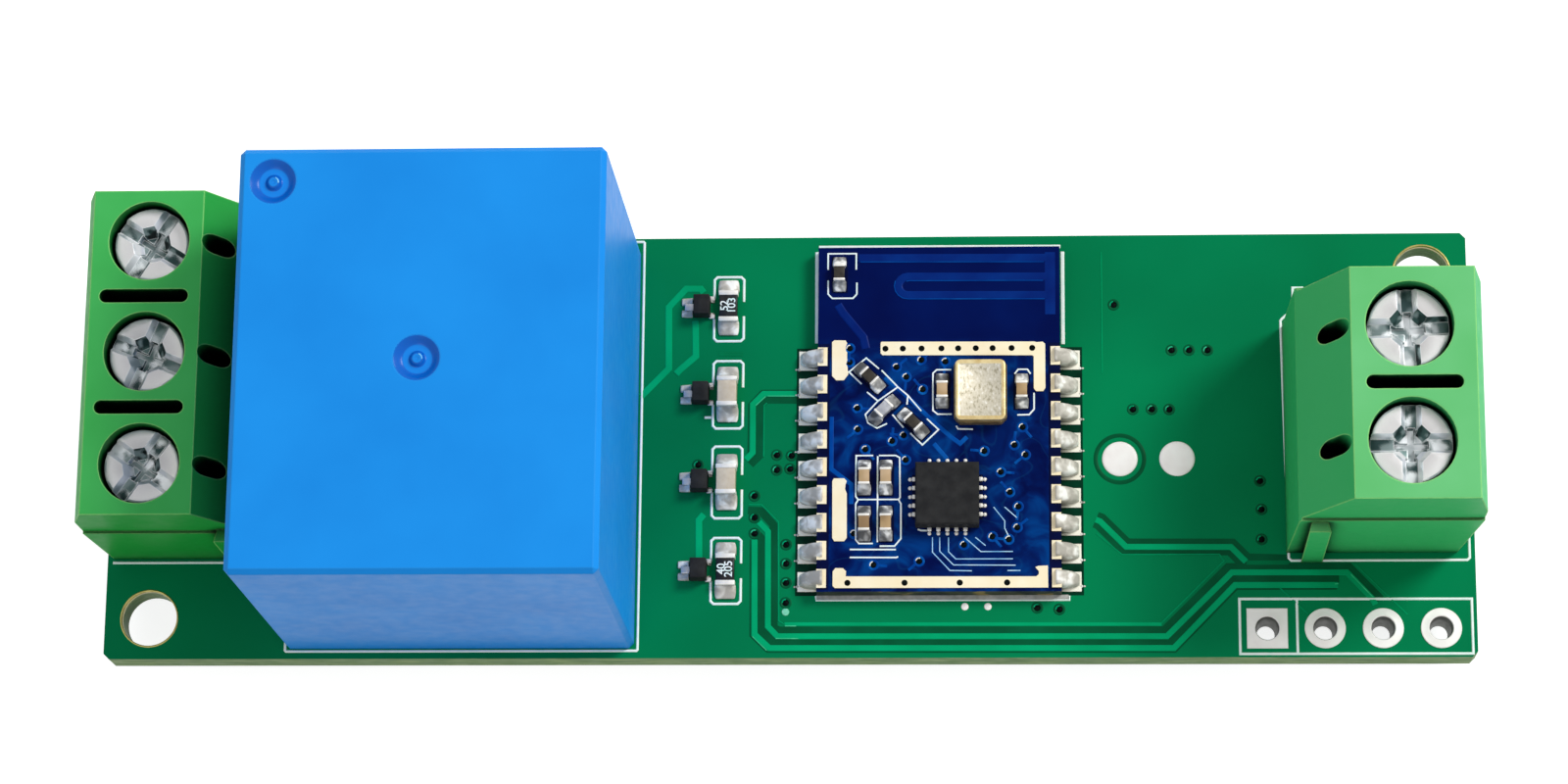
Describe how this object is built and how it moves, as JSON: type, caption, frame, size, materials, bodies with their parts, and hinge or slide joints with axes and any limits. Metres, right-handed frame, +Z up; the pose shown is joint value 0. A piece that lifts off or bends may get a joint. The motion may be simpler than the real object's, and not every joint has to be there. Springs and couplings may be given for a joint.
{
  "type": "relay module board",
  "caption": "Long green circuit board with a cube relay, screw terminal blocks at both ends, a small radio module and a row of header holes, for switching a load.",
  "frame": {"origin": "under the middle of the board, at the level of the pin tips that it stands on", "axes": "+X along the board towards the two-pole terminal, +Y towards the antenna, +Z up"},
  "size_m": [0.061, 0.0194, 0.019],
  "materials": {
    "board_green": "satin solder mask",
    "gold_plating": "satin",
    "solder": "satin",
    "tinned_metal": "satin",
    "relay_blue": "satin",
    "relay_black": "matt",
    "copper_wire": "satin",
    "soft_iron": "satin",
    "contact_metal": "satin",
    "terminal_green": "satin",
    "screw_steel": "satin",
    "clamp_steel": "satin",
    "radio_blue": "gloss solder mask",
    "package_black": "matt",
    "ceramic_tray": "matt",
    "lid_metal": "satin",
    "ceramic_tan": "matt",
    "resistor_black": "gloss",
    "ceramic_cream": "satin",
    "white_ink": "matt"
  },
  "bodies": {
    "board": {"main_board": "board_green", "header_pads": "tinned_metal", "test_pads": "tinned_metal", "relay_case": "relay_blue", "relay_base": "relay_black", "relay_bobbin": "relay_black", "relay_coil": "copper_wire", "relay_core": "soft_iron", "relay_yoke": "soft_iron", "relay_resting_contact": "contact_metal", "relay_working_contact": "contact_metal", "relay_coil_pins": "tinned_metal", "relay_common_pin": "tinned_metal", "left_terminal_housing": "terminal_green", "right_terminal_housing": "terminal_green", "left_terminal_pins": "tinned_metal", "right_terminal_pins": "tinned_metal", "board_solder": "solder", "radio_board": "radio_blue", "radio_edge_pads": "gold_plating", "radio_shield_pads": "gold_plating", "radio_solder": "solder", "radio_chip": "package_black", "radio_chip_leads": "tinned_metal", "crystal_base": "ceramic_tray", "crystal_lid": "lid_metal", "radio_small_bodies": "ceramic_tan", "radio_small_ends": "solder", "resistor_1_body": "resistor_black", "resistor_1_ends": "solder", "resistor_4_body": "resistor_black", "resistor_4_ends": "solder", "capacitor_2_body": "ceramic_cream", "capacitor_2_ends": "solder", "capacitor_3_body": "ceramic_cream", "capacitor_3_ends": "solder", "transistor_1_body": "package_black", "transistor_1_leads": "tinned_metal", "transistor_2_body": "package_black", "transistor_2_leads": "tinned_metal", "transistor_3_body": "package_black", "transistor_3_leads": "tinned_metal", "transistor_4_body": "package_black", "transistor_4_leads": "tinned_metal"},
    "relay_armature": {"relay_armature": "soft_iron", "relay_contact_blade": "contact_metal", "relay_moving_contact": "contact_metal"},
    "left_screw_1": {"left_screw_1": "screw_steel"},
    "left_clamp_1": {"left_clamp_1": "clamp_steel"},
    "left_screw_2": {"left_screw_2": "screw_steel"},
    "left_clamp_2": {"left_clamp_2": "clamp_steel"},
    "left_screw_3": {"left_screw_3": "screw_steel"},
    "left_clamp_3": {"left_clamp_3": "clamp_steel"},
    "right_screw_1": {"right_screw_1": "screw_steel"},
    "right_clamp_1": {"right_clamp_1": "clamp_steel"},
    "right_screw_2": {"right_screw_2": "screw_steel"},
    "right_clamp_2": {"right_clamp_2": "clamp_steel"}
  },
  "joints": [
    {"name": "relay_armature_rock", "type": "hinge", "parent": "board", "child": "relay_armature", "pos_m": [-0.0145, -0.00675, 0.01565], "axis": [-1, 0, 0], "range_deg": [0, 3], "stiffness_Nm_per_rad": 0.002, "springref_deg": -11.46},
    {"name": "left_screw_1_turn", "type": "hinge", "parent": "board", "child": "left_screw_1", "pos_m": [-0.0275, 0.00726, 0.0111], "axis": [0, 0, -1], "range_deg": [0, 1440.5]},
    {"name": "left_clamp_1_rise", "type": "slide", "parent": "board", "child": "left_clamp_1", "axis": [0, 0, 1], "range_m": [0, 0.0018]},
    {"name": "left_screw_2_turn", "type": "hinge", "parent": "board", "child": "left_screw_2", "pos_m": [-0.0275, 0.00226, 0.0111], "axis": [0, 0, -1], "range_deg": [0, 1440.5]},
    {"name": "left_clamp_2_rise", "type": "slide", "parent": "board", "child": "left_clamp_2", "axis": [0, 0, 1], "range_m": [0, 0.0018]},
    {"name": "left_screw_3_turn", "type": "hinge", "parent": "board", "child": "left_screw_3", "pos_m": [-0.0275, -0.00274, 0.0111], "axis": [0, 0, -1], "range_deg": [0, 1440.5]},
    {"name": "left_clamp_3_rise", "type": "slide", "parent": "board", "child": "left_clamp_3", "axis": [0, 0, 1], "range_m": [0, 0.0018]},
    {"name": "right_screw_1_turn", "type": "hinge", "parent": "board", "child": "right_screw_1", "pos_m": [0.027, 0.00272, 0.0127], "axis": [0, 0, -1], "range_deg": [0, 1584.5]},
    {"name": "right_clamp_1_rise", "type": "slide", "parent": "board", "child": "right_clamp_1", "axis": [0, 0, 1], "range_m": [0, 0.0022]},
    {"name": "right_screw_2_turn", "type": "hinge", "parent": "board", "child": "right_screw_2", "pos_m": [0.027, -0.00236, 0.0127], "axis": [0, 0, -1], "range_deg": [0, 1584.5]},
    {"name": "right_clamp_2_rise", "type": "slide", "parent": "board", "child": "right_clamp_2", "axis": [0, 0, 1], "range_m": [0, 0.0022]}
  ],
  "couplings": [
    {"joint": "left_screw_1_turn", "follows": "left_clamp_1_rise", "rad_per_m": 13963},
    {"joint": "left_screw_2_turn", "follows": "left_clamp_2_rise", "rad_per_m": 13963},
    {"joint": "left_screw_3_turn", "follows": "left_clamp_3_rise", "rad_per_m": 13963},
    {"joint": "right_screw_1_turn", "follows": "right_clamp_1_rise", "rad_per_m": 12566},
    {"joint": "right_screw_2_turn", "follows": "right_clamp_2_rise", "rad_per_m": 12566}
  ]
}
